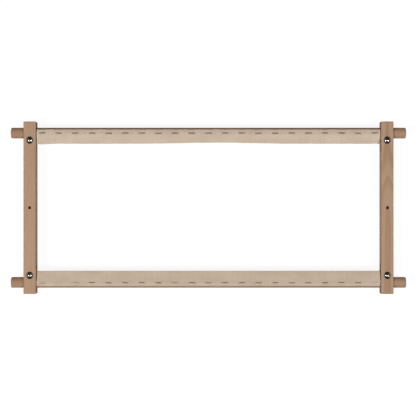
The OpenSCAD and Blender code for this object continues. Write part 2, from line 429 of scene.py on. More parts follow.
def beech(name, looks, tone, gloss, contrast, origin, grain, rings, cuts=None):
    """Beech with growth rings, streaks, pores, ray flecks and end grain.

    contrast is that of the rings, and grain is the axis that the wood grew along."""
    finish = Finish(name, looks.roughness)
    x, y, z = finish.split(finish.vector("SUBTRACT", finish.place(), tuple(origin)))
    across, along = (x, y) if grain == "Y" else (y, x)
    wood = finish.join(across, along, z)
    facing = finish.split(finish.place("Normal"))["XYZ".index(grain)]
    end = finish.step(finish.size(facing), 0.45, 0.85)

    late = late_wood(finish, wood, across, along, z, rings)
    streak = finish.noise(wood, (1100, 16, 1100), 3, 0.6)
    pores = finish.step(finish.noise(wood, (3600, 90, 3600), 2, 0.6), 0.56, 0.72)
    blotch = finish.noise(wood, (55, 7, 55), 2, 0.5)
    distance, chance = finish.cells(wood, (1150, 330, 1150))
    fleck = finish.times(finish.fade(distance, 0.12, 0.34), finish.step(chance, 0.5, 0.6))
    shade = finish.add(
        finish.times(late, contrast),
        finish.times(streak, looks.streak_contrast),
        finish.times(blotch, 0.95),
        finish.times(pores, 0.12),
        finish.times(fleck, looks.fleck_contrast),
        finish.times(end, 0.3),
        -0.25 - 0.3 * contrast - 0.5 * looks.streak_contrast,
    )
    saw_marks = 0.0
    # Cut walls and the band beside the cut go near-black: partly burn, partly painted shade
    if cuts:
        kerf, cut = sawn(finish, across, along, z, cuts)
        shade = finish.add(shade, finish.times(cut, looks.cut_burn_and_shade))
        saw_marks = finish.times(kerf, finish.noise(wood, (8, 1500, 8), 1), 3.0)
    shade = finish.within(shade, 0.0, 1.5)
    pale, dark = toned(tone, 1.12, 1.13, 1.14), toned(tone, 0.86, 0.80, 0.74)
    # Near-black brown of the cuts: partly burnt wood, partly painted shade in the hollows
    burnt_and_shaded = toned(tone, 0.26, 0.15, 0.10)
    plain = finish.mix(finish.calc("MINIMUM", shade, 1.0), pale, dark)
    relief = finish.add(
        finish.times(streak, 0.6),
        finish.times(late, 0.25),
        finish.times(pores, -0.5),
        finish.times(fleck, 0.3),
        finish.times(end, finish.noise(wood, (2600, 2600, 2600), 2), 1.2),
        saw_marks,
    )
    finish.paint(
        base_color=finish.mix(finish.step(shade, 0.9, 1.5), plain, burnt_and_shaded),
        roughness=finish.add(
            finish.times(streak, 0.16), finish.times(end, 0.1), looks.roughness - 0.08
        ),
        normal=finish.bump(relief, looks.grain_depth),
    )
    finish.surface.inputs["Specular IOR Level"].default_value = gloss
    return finish.material


def plated(name, looks, grain, pit, stretch=(1, 1, 1), metallic=1.0, glint=None):
    """Metal with fine wear: brushed or cast relief, dull patches and a little grime.

    The relief has grain lumps to the metre and is pit deep. The last argument is the colour
    of a painted glint, which points take on as far as their chart says."""
    finish = Finish(name, looks.roughness, metallic)
    place = finish.place()
    fine = finish.noise(place, tuple(grain * s for s in stretch), 3, 0.6)
    patch = finish.noise(place, (210, 210, 210), 3, 0.55)
    grime = finish.step(finish.noise(place, (420, 420, 420), 4, 0.65), 0.5, 0.78)
    grimy = toned(looks.tone, 0.5, 0.46, 0.42)
    skin = finish.mix(finish.times(grime, looks.grime), looks.tone, grimy)
    if glint:
        skin = finish.mix(finish.split(finish.chart())[0], skin, glint)
    finish.paint(
        base_color=skin,
        roughness=finish.add(
            finish.times(patch, 0.5 * looks.roughness),
            finish.times(fine, 0.4 * looks.roughness),
            0.55 * looks.roughness,
        ),
        normal=finish.bump(finish.add(fine, finish.times(patch, 0.6)), pit),
    )
    return finish.material


def unfold(along, longest, seed, terms=6):
    """A gentle random wave along a line, about 1 high, with no wave longer than longest."""
    rng = np.random.default_rng(seed)
    total = np.zeros_like(along)
    for n in range(terms):
        wave = longest / (1 + 0.83 * n)
        total = total + np.sin(TURN * along / wave + rng.uniform(0, TURN)) / (1 + 0.5 * n)
    return total / math.sqrt(terms)


def smooth(value, start, end):
    """Goes smoothly from 0, where value is at start, to 1, where it is at end."""
    t = np.clip((value - start) / (end - start), 0, 1)
    return t * t * (3 - 2 * t)


def bell(value, reach, power=2):
    """1 where value is zero, and near 0 where it is well past reach."""
    return np.exp(-((value / reach) ** power))


def running_total(steps):
    """Adds up the steps along each row, from zero."""
    return np.concatenate([np.zeros((len(steps), 1)), np.cumsum(steps, axis=1)], axis=1)


class RailLooks(bpy.types.PropertyGroup):
    left_tone: colour((0.434, 0.284, 0.189), "Left rail", "Beech of the left side rail")
    right_tone: colour((0.410, 0.266, 0.176), "Right rail", "Beech of the right side rail")
    left_gloss: share(0.015, "Left gloss", "Gloss of the left rail's dry wood")
    right_gloss: share(0.09, "Right gloss", "Gloss of the right rail's smoother wood")
    roughness: share(0.62, "Roughness", "Dullness of the sanded wood")
    left_rings: share(0.36, "Left rings", "Contrast of the left rail's growth rings")
    right_rings: share(0.62, "Right rings", "Contrast of the right rail's growth rings")
    streak_contrast: share(0.85, "Streaks", "Contrast of the fine streaks along the grain")
    fleck_contrast: share(0.22, "Ray flecks", "Contrast of the short ray flecks")
    # How dark the cut walls are: partly burn, partly painted shade
    cut_burn_and_shade: share(1.0, "Cuts", "Darkness of the sawn and drilled walls")
    grain_depth: mm(0.06, "Grain depth", "Depth of the grain's relief")
    kerf: mm(5.0, "Saw cut", "Width of the cut that splits each end")
    kerf_root: mm(99.5, "Saw cut's root", "Distance from mid-length to the end of the cut")
    hole: mm(5.2, "Stand hole", "Diameter of the hole at mid-length")
    bore_gap: mm(0.1, "Bore gap", "Radial clearance of the roller in its bore")


class RollerLooks(bpy.types.PropertyGroup):
    tone: colour((0.368, 0.227, 0.144), "Roller", "Beech of the two rollers")
    gloss: share(0.06, "Gloss", "Gloss of the sanded wood")
    roughness: share(0.6, "Roughness", "Dullness of the sanded wood")
    ring_contrast: share(0.35, "Rings", "Contrast of the growth rings")
    streak_contrast: share(0.6, "Streaks", "Contrast of the fine streaks along the grain")
    fleck_contrast: share(0.22, "Ray flecks", "Contrast of the short ray flecks")
    grain_depth: mm(0.06, "Grain depth", "Depth of the grain's relief")


class WebbingLooks(bpy.types.PropertyGroup):
    top_tone: colour((0.625, 0.51, 0.40), "Top strip", "Unbleached cotton of the top strip")
    # The bottom strip's darker tone is painted shade, for the weaker light that falls on it
    bottom_tone: colour((0.58, 0.47, 0.365), "Bottom strip", "Cotton of the bottom strip")
    roughness: share(0.85, "Roughness", "Dullness of the cotton")
    width: mm(27, "Width", "Width of the strip, laid flat")
    thickness: mm(1, "Thickness", "Thickness of the strip")
    seat: mm(0.05, "Seat gap", "Gap between the strip and the wood")
    yarn: mm(1.35, "Yarn pitch", "Distance between neighbouring yarns")
    yarn_relief: mm(0.16, "Yarn relief", "Height of the yarns' crossings")
    top_lap: angle(38, "Top lap", "How far outward of its front the top strip starts")
    bottom_lap: angle(34, "Bottom lap", "The same on the bottom roller")
    top_droop: angle(24, "Top droop", "Slope at which the top strip hangs off its roller")
    bottom_droop: angle(9, "Bottom droop", "The same on the bottom roller")
    middle_sag: angle(18, "Middle sag", "How much more the top strip droops at mid-length")
    corner_lift: angle(19, "Corner lift", "How far the top strip's left corner curls up")
    edge_lift: mm(1.0, "Edge lift", "How far the outer edge lifts between its staples")
    ripple: mm(0.6, "Ripple", "Height of the loose flap's waves")
    pucker: mm(0.26, "Pucker", "Height of the small folds that the staples draw up")
    top_dust: share(0.36, "Top dust", "Greyness that has gathered along the top staple row")
    bottom_dust: share(0.15, "Bottom dust", "Greyness that has gathered along the bottom row")
    # Darkness round the staples: partly stains, partly painted shade of the wire and its dimple
    top_stain: share(0.56, "Top stains", "Darkness that the top staples have left round them")
    bottom_stain: share(0.3, "Bottom stains", "Darkness that the bottom staples have left")


class StapleLooks(bpy.types.PropertyGroup):
    tone: colour((0.20, 0.19, 0.16), "Wire", "Tarnished wire of the staples")
    # Painted glint: the staples listed for it are lightened towards this colour
    glint_tone: colour((0.70, 0.76, 0.75), "Fresh wire", "Zinc of the few staples that are new")
    roughness: share(0.42, "Roughness", "Dullness of the wire")
    grime: share(0.5, "Grime", "Darkening in patches")
    count: IntProperty(name="Staples", description="Staples along each roller", default=21, min=2)
    end_gap: mm(9.5, "End gap", "From the strip's end to the first staple's middle")
    inset: mm(6, "Inset", "From the strip's outer edge to the row")
    crown: mm(11, "Crown", "Length of a staple's crown")
    leg: mm(6, "Leg", "Length of a staple's legs")
    top_row: mm(1.1, "Top row", "How much further in the top row sits than the bottom one")
    end_shift: mm(1.4, "End shift", "How much further out a row's first and last staple sit")
    wire_width: mm(1.2, "Wire width", "Width of the flat wire")
    wire_thickness: mm(0.6, "Wire thickness", "Thickness of the flat wire")
    pinch: mm(0.5, "Pinch", "How deep a crown presses the strip in")
    skew: angle(2.6, "Skew", "How far a staple may be turned out of line")


class BoltLooks(bpy.types.PropertyGroup):
    tone: colour((0.57, 0.51, 0.44), "Plating", "Bright plating of the carriage bolts")
    roughness: share(0.17, "Roughness", "Dullness of the plating")
    grime: share(0.25, "Grime", "Darkening in patches")
    pitch: mm(0.8, "Thread pitch", "Distance from one thread to the next")
    thread_depth: mm(0.42, "Thread depth", "Depth of the thread")
    crest_radius: mm(2.4, "Crest radius", "Radius of the thread's crests")
    neck: mm(5.4, "Neck width", "Width of the square neck")
    neck_length: mm(4, "Neck length", "Length of the square neck")
    head_height: mm(3.2, "Head height", "Height of the domed head")
    head_rim: mm(0.4, "Head rim", "Height of the upright rim round the head")
    chamfer: mm(0.7, "End chamfer", "Chamfer on the bolt's end")


class WasherLooks(bpy.types.PropertyGroup):
    tone: colour((0.50, 0.51, 0.53), "Zinc", "Zinc plating of the washers")
    roughness: share(0.34, "Roughness", "Dullness of the zinc")
    grime: share(0.35, "Grime", "Darkening in patches")
    bore: mm(5.3, "Bore", "Diameter of the washer's hole")


class WingNutLooks(bpy.types.PropertyGroup):
    tone: colour((0.48, 0.49, 0.50), "Casting", "Zinc-plated casting of the wing nuts")
    roughness: share(0.38, "Roughness", "Dullness of the casting")
    grime: share(0.5, "Grime", "Darkening in patches")
    grid: mm(0.27, "Grid", "Size of the grid that the casting's blends are smoothed on")
    rounds: IntProperty(name="Smoothing", description="Rounds of smoothing", default=9, min=0)
    bore: mm(2.5, "Bore radius", "Radius that the threaded hole is kept clear to")


class StudioLooks(bpy.types.PropertyGroup):
    distance: mm(2588, "Camera distance", "From the rails' front faces to the camera")
    view_angle: angle(16.16, "View angle", "Camera's angle of view")
    lamp_size: mm(1700, "Softbox", "Side of each square softbox")
    spot_size: mm(840, "Spot", "Side of each small square lamp beside a softbox")
    lamp_power: FloatProperty(
        name="Lamp power", description="Power of each softbox", default=105, unit="POWER"
    )
    ambient: share(0.04, "Ambient", "Light from the room")
    backdrop: share(0.92, "Backdrop", "How white the floor looks where it is in shadow")
    bounce: share(0.5, "Bounce", "Share of the light that the floor throws back")
    # Painted shadows in the floor's glow, under the side rails and under the rollers with strips
    rail_shade: share(0.99, "Rail's shade", "Darkness of the floor close under each side rail")
    roller_shade: share(0.42, "Roller's shade", "Darkness of the floor under each roller and strip")
    walls: share(0.22, "Walls", "Brightness of the walls at left and right, mirrored in metal")


class SCROLL_OT_rails(bpy.types.Operator):
    """Gives the two side rails their beech, with saw marks in the split ends"""

    bl_idname = "scroll_frame.rails"
    bl_label = "Side Rails"

    def execute(self, context):
        looks = context.scene.scroll_rails
        cuts = Cuts(
            half_kerf=looks.kerf / 2,
            root=looks.kerf_root,
            hole=looks.hole / 2,
            bore=ROLLER_RADIUS + looks.bore_gap,
        )
        left = Rings(pith=(-0.085, -0.05), year=2.6 * MM, taper=0.006, middle=0.03, reach=0.15)
        right = Rings(pith=(0.001, -0.046), year=1.7 * MM, taper=0.043, middle=0.056, reach=0.04)
        for side, rings in (("left", left), ("right", right)):
            node = f"{side}_side_rail"
            own = [getattr(looks, f"{side}_{key}") for key in ("tone", "gloss", "rings")]
            wood = beech(f"beech_{side}_rail", looks, *own, middle(node), "Y", rings, cuts)
            set_material(node, wood)
        return {"FINISHED"}


class SCROLL_OT_rollers(bpy.types.Operator):
    """Gives the two rollers their beech, with growth rings on their ends"""

    bl_idname = "scroll_frame.rollers"
    bl_label = "Rollers"

    def execute(self, context):
        looks = context.scene.scroll_rollers
        own = looks.tone, looks.gloss, looks.ring_contrast
        top = Rings(pith=(0.021, 0.012), year=2.1 * MM, taper=0.004, middle=0.05, reach=0.3)
        bottom = top._replace(pith=(-0.017, 0.02), taper=-0.003)
        for edge, rings in (("top", top), ("bottom", bottom)):
            node = f"{edge}_roller"
            wood = beech(f"beech_{edge}_roller", looks, *own, middle(node), "X", rings)
            set_material(node, wood)
        return {"FINISHED"}


class Lay:
    """How a strip lies: its path over the roller and off it, in the roller's own axes."""

    def __init__(self, looks, edge, length):
        self.looks, self.edge, self.length = looks, edge, length
        self.lap = looks.top_lap if edge == "top" else looks.bottom_lap
        self.radius = ROLLER_RADIUS + looks.seat + looks.thickness / 2

    def droop(self, x):
        """Slope of the hanging flap at each place along the roller."""
        looks = self.looks
        wander = unfold(x, 0.31, seed=5 if self.edge == "top" else 8)
        if self.edge == "bottom":
            return looks.bottom_droop + math.radians(1.1) * wander
        sag = looks.middle_sag * bell(x - 12 * MM, 85 * MM)
        lift = looks.corner_lift * bell(x + self.length / 2, 20 * MM)
        return looks.top_droop + sag - lift + math.radians(1.3) * wander

    def path(self, x, across):
        """The strip's middle layer at each x and each distance across the strip.

        Returns how far inward and in front of the roller's axis it is, its slope, and the distance
        across at which it leaves the roller. It is worked out in steps finer than asked for."""
        fine = 8
        s = np.linspace(across[0], across[-1], (len(across) - 1) * fine + 1)
        ds = s[1] - s[0]
        leave = (self.lap + self.droop(x)) * self.radius
        bend = 1 - smooth(s[None, :], leave[:, None] - STRAIGHTEN, leave[:, None] + STRAIGHTEN)
        bend = bend / self.radius
        slope = running_total((bend[:, 1:] + bend[:, :-1]) / 2 * ds) - self.lap
        half = (slope[:, 1:] + slope[:, :-1]) / 2
        inward = running_total(np.cos(half) * ds) - self.radius * math.sin(self.lap)
        front = running_total(-np.sin(half) * ds) + self.radius * math.cos(self.lap)
        return inward[:, ::fine], front[:, ::fine], slope[:, ::fine], leave

    def world(self, x, inward, front):
        """The roller's own axes turned into the frame's."""
        toward = EDGES[self.edge]
        return np.stack([x, toward * (ROLLER_Y - inward), AXIS_Z + front], axis=-1)


def staple_rows(looks, length, edge):
    """Where each staple went in: its place along the strip, its shift across it and its skew."""
    uneven_along, uneven_across = 0.9, 0.28
    rng = np.random.default_rng(SEEDS[edge])
    x = np.linspace(-length / 2 + looks.end_gap, length / 2 - looks.end_gap, looks.count)
    x = x + rng.uniform(-uneven_along, uneven_along, looks.count) * MM
    shift = rng.normal(0, uneven_across, looks.count) * MM
    skew = rng.normal(0, looks.skew, looks.count)
    if edge == "top":
        shift += looks.top_row
    shift[[0, -1]] -= looks.end_shift
    return x, shift, skew


def cotton(finish, looks, tone, strip):
    """Colour and relief of plain-woven cotton: crossing yarns, fine fibres and uneven dye.

    Its colour is darkened in the yarns' valleys, a painted shade.
    """
    half = (0.5, 0.5, 0.5)
    wobble = finish.vector("SUBTRACT", finish.noise(strip, (150, 150, 1), output="Color"), half)
    wobble = finish.vector("MULTIPLY", wobble, (0.55 * looks.yarn, 0.55 * looks.yarn, 0))
    u, v, _ = finish.split(finish.vector("ADD", strip, wobble))
    over = finish.times(
        finish.calc("SINE", finish.add(finish.times(u, math.pi / looks.yarn), math.pi / 2)),
        finish.calc("SINE", finish.add(finish.times(v, math.pi / looks.yarn), math.pi / 2)),
    )
    warp_up = finish.step(over, -0.12, 0.12)
    fibre = finish.add(
        finish.times(finish.noise(strip, (900, 9000, 1), 3, 0.6), warp_up),
        finish.times(
            finish.noise(strip, (9000, 900, 1), 3, 0.6), finish.calc("SUBTRACT", 1.0, warp_up)
        ),
    )
    # The yarns' valleys between crossings; their colour is darkened, a painted shade
    valley = finish.fade(finish.size(over), 0.0, 0.45)
    slub = finish.noise(strip, (160, 1500, 1), 2, 0.5)
    bars = finish.noise(strip, (260, 12, 1), 2, 0.5)
    cloud = finish.noise(strip, (22, 60, 1), 3, 0.5)
    shade = finish.add(
        finish.times(valley, 0.26),
        finish.times(warp_up, 0.10),
        finish.times(fibre, 0.55),
        finish.times(slub, 0.25),
        finish.times(bars, 0.35),
        finish.times(cloud, 0.85),
        -0.78,
    )
    pale, dark = toned(tone, 1.12, 1.12, 1.13), toned(tone, 0.78, 0.75, 0.70)
    relief = finish.add(finish.times(fibre, 0.7), finish.times(valley, -0.6), slub)
    return finish.mix(finish.within(shade, 0.0, 1.0), pale, dark), relief


def staple_dirt_and_shade(finish, looks, staples, edge, length, strip):
    """Dust that gathers along a staple row, and darkening round its staples.

    The darkening is partly stains and partly painted shade of each staple's wire and dimple.
    """
    row = staples.inset + (staples.top_row if edge == "top" else 0)
    along, across, _ = finish.split(strip)
    from_row = finish.size(finish.add(across, -row))
    dust = finish.times(
        finish.fade(from_row, 0.5 * MM, 5.5 * MM),
        finish.step(finish.noise(strip, (170, 330, 1), 3, 0.6), 0.36, 0.66),
        getattr(looks, f"{edge}_dust"),
    )
    pitch = (length - 2 * staples.end_gap) / (staples.count - 1)
    turns = finish.times(finish.add(along, pitch / 2 - staples.end_gap), 1 / pitch)
    from_staple = finish.size(finish.add(finish.calc("FRACT", turns), -0.5))
    # Round each staple: painted shade of its wire and dimple, with some stains
    stain_and_shade = finish.times(
        finish.fade(finish.times(from_staple, pitch), 0.4 * staples.crown, 0.68 * staples.crown),
        finish.fade(from_row, 0.9 * MM, 2.6 * MM),
        getattr(looks, f"{edge}_stain"),
    )
    return finish.calc("MINIMUM", finish.add(dust, stain_and_shade), 1.0)


def webbing_cloth(looks, staples, edge, length):
    """The cotton of one strip, dirty along its staples, with painted shade round them."""
    finish = Finish(f"cotton_of_{edge}_strip", looks.roughness)
    tone = getattr(looks, f"{edge}_tone")
    strip = finish.chart()
    clean, relief = cotton(finish, looks, tone, strip)
    dirt_and_shade = staple_dirt_and_shade(finish, looks, staples, edge, length, strip)
    finish.paint(
        base_color=finish.mix(dirt_and_shade, clean, toned(tone, 0.48, 0.52, 0.53)),
        normal=finish.bump(relief, 0.09 * MM),
    )
    finish.surface.inputs["Specular IOR Level"].default_value = 0.2
    finish.surface.inputs["Sheen Weight"].default_value = 0.08
    finish.surface.inputs["Sheen Roughness"].default_value = 0.5
    return finish.material


def pressed(staples, edge, length, x, s):
    """How deep the staples press a strip in at each point, and how firmly they hold each x."""
    crown_reach, row_reach, hold_reach = 6.4 * MM, 1.9 * MM, 7.5 * MM
    pinch, hold = np.zeros((len(x), len(s))), np.zeros_like(x)
    for place, shift, _ in zip(*staple_rows(staples, length, edge)):
        beside = bell(x - place, crown_reach, 4)
        across = bell(s - staples.inset - shift, row_reach)
        pinch = np.maximum(pinch, beside[:, None] * across[None, :])
        hold = np.maximum(hold, bell(x - place, hold_reach))
    return pinch, hold


def risen(looks, staples, edge, xs, ss, leave, pinch, hold):
    """How far a strip stands off its path: its lifted outer edge, loose flap and puckers."""
    x = xs[:, 0]
    edge_lift = looks.edge_lift * (0.35 + 0.65 * np.abs(unfold(x, 0.083, seed=3)))
    edge_lift = edge_lift * (1 - 0.85 * hold)
    lift = edge_lift[:, None] * np.clip((staples.inset - ss) / staples.inset, 0, 1) ** 2
    loose = smooth(ss, leave[:, None] - 2 * MM, looks.width)
    long_waves = unfold(x, 0.064, seed=11 if edge == "top" else 12)
    waves = 0.7 * long_waves + 0.35 * unfold(x, 0.023, seed=17)
    ripple = looks.ripple * loose * waves[:, None]
    slanting = (xs + 0.7 * ss).ravel()
    folds = unfold(slanting, 0.015, seed=SEEDS[edge] + 2, terms=3).reshape(xs.shape)
    near_row = bell(ss - staples.inset, 4.5 * MM)
    pucker = looks.pucker * near_row * (1 - pinch) * np.abs(folds)
    return lift + ripple + pucker


def crossings(columns, rows):
    """Height of a plain weave's yarns at each point, and how full the strip is there."""
    i, j = np.meshgrid(np.arange(columns + 1), np.arange(rows + 1), indexing="ij")
    height = np.zeros(i.shape)
    both = (i % 2 == 0) & (j % 2 == 0)
    warp_up = (i // 2 + j // 2) % 2 == 0
    height[both & warp_up] = 1.0
    height[both & ~warp_up] = 0.85
    height[(i % 2 == 0) ^ (j % 2 == 0)] = 0.42
    rim = np.minimum(np.minimum(j, rows - j) / 2.0, np.minimum(i, columns - i) / 2.0)
    return height, 0.55 + 0.45 * np.clip(rim, 0, 1)


def worn_border(edge, x, rows):
    """How far the cut ends fray along the strip, and the woven edges bulge across it."""
    fray_reach, bulge_reach = 0.45, 0.12
    rng = np.random.default_rng(SEEDS[edge] + 1)
    fray, bulge = np.zeros((len(x), rows + 1)), np.zeros((len(x), rows + 1))
    fray[0, :] = -rng.uniform(0, fray_reach, rows + 1) * MM
    fray[-1, :] = rng.uniform(0, fray_reach, rows + 1) * MM
    wander = unfold(x, 0.012, seed=23) * bulge_reach * MM
    bulge[:, 0] = -np.abs(wander)
    bulge[:, -1] = np.abs(wander)
    return fray, bulge


def sheet_faces(columns, rows):
    """Faces of two layers of points, one over the other, and of the border that joins them."""
    count = (columns + 1) * (rows + 1)
    at = np.arange(count).reshape(columns + 1, rows + 1)
    quad = np.stack([at[:-1, :-1], at[1:, :-1], at[1:, 1:], at[:-1, 1:]], -1).reshape(-1, 4)
    low = quad[:, ::-1] + count
    border = np.concatenate([at[:, 0], at[-1, 1:], at[-2::-1, -1], at[0, -2:0:-1]])
    after = np.roll(border, -1)
    side = np.stack([border, border + count, after + count, after], -1)
    return np.concatenate([quad, low, side])


class SCROLL_OT_webbing(bpy.types.Operator):
    """Weaves the two webbing strips, pinched at their staples and loose at their free edges"""

    bl_idname = "scroll_frame.webbing"
    bl_label = "Webbing"

    def execute(self, context):
        for edge in EDGES:
            self.weave(context.scene.scroll_webbing, context.scene.scroll_staples, edge)
        return {"FINISHED"}

    def weave(self, looks, staples, edge):
        """Lays one strip: an upper and a lower layer of points, with a point at each crossing."""
        node = f"{edge}_tape"
        length = extent(node).x
        lay = Lay(looks, edge, length)
        columns = 2 * round(length / looks.yarn)
        rows = 2 * round(looks.width / looks.yarn)
        x = np.linspace(-length / 2, length / 2, columns + 1)
        s = np.linspace(0, looks.width, rows + 1)
        xs, ss = np.meshgrid(x, s, indexing="ij")
        inward, front, slope, leave = lay.path(x, s)
        pinch, hold = pressed(staples, edge, length, x, s)
        rise = risen(looks, staples, edge, xs, ss, leave, pinch, hold)
        crossing, full = crossings(columns, rows)
        half = (looks.thickness / 2 - looks.yarn_relief + looks.yarn_relief * crossing) * full
        upper = rise + half - staples.pinch * pinch
        lower = rise - half
        on_roller = ss < leave[:, None] - STRAIGHTEN
        lower = np.where(on_roller, np.maximum(lower, -looks.thickness / 2), lower)

        fray, bulge = worn_border(edge, x, rows)
        inward = inward + bulge * np.cos(slope)
        front = front - bulge * np.sin(slope)
        layers = [
            lay.world(xs + fray, inward + np.sin(slope) * h, front + np.cos(slope) * h)
            for h in (upper, lower)
        ]
        points = np.concatenate([layer.reshape(-1, 3) for layer in layers])
        faces = sheet_faces(columns, rows)
        # The top strip is laid the other way round, so its faces are turned over
        if edge == "top":
            faces = faces[:, ::-1]
        chart = np.stack([xs + length / 2, ss], -1).reshape(-1, 2)
        piece = put(
            f"{edge}_webbing",
            points,
            faces,
            webbing_cloth(looks, staples, edge, length),
            f"{edge}_roll",
            (node,),
            chart=np.concatenate([chart, chart]),
        )


class SCROLL_OT_staples(bpy.types.Operator):
    """Bends the flat-wire staples and drives them in, each a little out of line"""

    bl_idname = "scroll_frame.staples"
    bl_label = "Staples"

    def execute(self, context):
        looks = context.scene.scroll_staples
        webbing = context.scene.scroll_webbing
        glint = tuple(looks.glint_tone)
        wire = plated("staple_wire", looks, 5200, 0.02 * MM, (1, 0.2, 0.2), 0.8, glint)
        for edge in EDGES:
            length = extent(f"{edge}_tape").x
            lay = Lay(webbing, edge, length)
            shape, chart = Shape(), []
            for n, (x, shift, skew) in enumerate(zip(*staple_rows(looks, length, edge))):
                self.bend(looks, lay, webbing, shape, x, looks.inset + shift, skew)
                # How much of the painted glint this staple gets
                new = (PAINTED_GLINTS[edge].get(n, 0.0), 0.0)
                chart += [new] * (len(shape.points) - len(chart))
            put(
                f"{edge}_staple_row",
                shape.points,
                shape.faces if edge == "bottom" else [f[::-1] for f in shape.faces],
                wire,
                f"{edge}_roll",
                (f"{edge}_staples",),
                sharp=50,
                chart=chart,
            )
        return {"FINISHED"}

    def line(self, looks):
        """The wire's middle and its scale: up one leg, over the crown and down the other."""
        turn = 1.5 * looks.wire_thickness
        half = looks.crown / 2 - looks.wire_thickness / 2
        tip, full, bow = 0.9 * MM - looks.leg, 1.9 * MM - looks.leg, 0.1 * MM
        line = [(-half, tip, 0.25), (-half, full, 1.0), (-half, -turn, 1.0)]
        line += [(p, q, 1.0) for p, q in corner_arc((turn - half, -turn), turn, 180, 90)]
        line += [(half * k, bow * (1 - k * k), 1.0) for k in (-0.5, 0.0, 0.5)]
        line += [(p, q, 1.0) for p, q in corner_arc((half - turn, -turn), turn, 90, 0)]
        return [*line, (half, full, 1.0), (half, tip, 0.25)]

    def bend(self, looks, lay, webbing, shape, x, across, skew):
        """Sweeps the wire's section along its line, then sets the staple on its roller."""
        line = self.line(looks)
        thick, wide = looks.wire_thickness / 2, looks.wire_width / 2
        section = rounded_rectangle((0, 0), thick, wide, 0.14 * MM, 2)
        tilt = lay.lap - across / lay.radius
        under_wire = lay.radius + webbing.thickness / 2 - looks.pinch + 0.03 * MM
        points = []
        for n, (p, q, scale) in enumerate(line):
            before, after = line[max(n - 1, 0)], line[min(n + 1, len(line) - 1)]
            tp, tq = after[0] - before[0], after[1] - before[1]
            size = math.hypot(tp, tq)
            for a, b in section:
                along = p - tq / size * a * scale
                out = under_wire + thick + (q + tp / size * a * scale)
                turned_x = along * math.cos(skew) - b * math.sin(skew)
                turned_s = along * math.sin(skew) + b * math.cos(skew)
                inward = -math.sin(tilt) * out + math.cos(tilt) * turned_s
                front = math.cos(tilt) * out + math.sin(tilt) * turned_s
                points.append(lay.world(x + turned_x, inward, front).tolist())
        ring = len(section)
        faces = []
        for low in range(0, (len(line) - 1) * ring, ring):
            for k in range(ring):
                n = (k + 1) % ring
                faces.append((low + k, low + ring + k, low + ring + n, low + n))
        faces.append(tuple(range(ring)))
        faces.append(tuple((len(line) - 1) * ring + k for k in reversed(range(ring))))
        shape.grow(points, faces)


class SCROLL_OT_bolts(bpy.types.Operator):
    """Turns the carriage bolts: domed head, square neck and a cut thread"""

    bl_idname = "scroll_frame.bolts"
    bl_label = "Carriage Bolts"

    def execute(self, context):
        looks = context.scene.scroll_bolts
        plating = plated("bright_plating", looks, 2600, 0.0012 * MM)
        for side in SIDES:
            for edge in EDGES:
                node = f"clamp_bolt_{side}_{edge}"
                low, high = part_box(node)
                centre = (middle(node).x, middle(node).y, high.z - looks.head_height)
                shape = Shape()
                self.head(looks, (high.x - low.x) / 2, centre, shape)
                self.neck(looks, centre, shape)
                self.thread(looks, centre, low.z, shape)
                put(
                    f"carriage_bolt_{side}_{edge}",
                    shape.points,
                    shape.faces,
                    plating,
                    f"{side}_rail",
                    (node,),
                    sharp=48,
                )
        return {"FINISHED"}

    def head(self, looks, radius, centre, shape):
        """A shallow dome that rolls over into a low rim."""
        rows, segments = 26, 96
        pole, lip = 0.02 * MM, 0.22 * MM
        cap = looks.head_height - looks.head_rim
        dome = (radius * radius + cap * cap) / (2 * cap)
        spread = math.degrees(math.asin(radius / dome))
        profile = [(pole, 0.0), (radius - lip, 0.0)]
        profile += corner_arc((radius - lip, lip), lip, -90, 0, 4)
        for k in range(1, rows):
            a = math.radians(spread * (1 - k / rows))
            profile.append((dome * math.sin(a), looks.head_height - dome + dome * math.cos(a)))
        profile.append((pole, looks.head_height))
        shape.lathe(profile, centre, segments)

    def neck(self, looks, centre, shape):
        """The square that stops the bolt turning, with worn corners and a tapered foot."""
        half = looks.neck / 2
        outline = rounded_rectangle(centre, half, half, 0.45 * MM, 3)
        top = centre[2] - 0.01 * MM
        foot = centre[2] - looks.neck_length
        shape.prism(outline, [(0.86, foot), (1.0, foot + 0.5 * MM), (1.0, top)])

    def thread(self, looks, centre, end, shape):
        """A right-hand thread from the neck to the bolt's chamfered end."""
        segments, per_turn = 36, 8
        plain, into_neck = 1.2 * MM, 0.3 * MM
        top = centre[2] - looks.neck_length + into_neck
        rows = round((top - end) / looks.pitch * per_turn)
        height = np.linspace(end, top, rows + 1)[:, None]
        around = np.arange(segments) / segments
        phase = np.mod(height / looks.pitch - around[None, :], 1.0)
        crest = np.clip((1 - np.abs(2 * phase - 1)) * 1.5 - 0.25, 0, 1)
        radius = looks.crest_radius - looks.thread_depth * (1 - crest)
        radius = np.minimum(radius, looks.crest_radius - looks.chamfer + (height - end))
        shank = looks.crest_radius - looks.thread_depth / 2
        radius = np.where(height > top - plain, shank, radius)
        x = centre[0] + radius * np.cos(TURN * around)[None, :]
        y = centre[1] + radius * np.sin(TURN * around)[None, :]
        z = np.broadcast_to(height, x.shape)
        at = np.arange((rows + 1) * segments).reshape(rows + 1, segments)
        beside = np.roll(at, -1, axis=1)
        faces = np.stack([at[:-1], beside[:-1], beside[1:], at[1:]], -1).reshape(-1, 4).tolist()
        faces.append(at[0, ::-1].tolist())
        faces.append(at[-1].tolist())
        shape.grow(np.stack([x, y, z], -1).reshape(-1, 3).tolist(), faces)


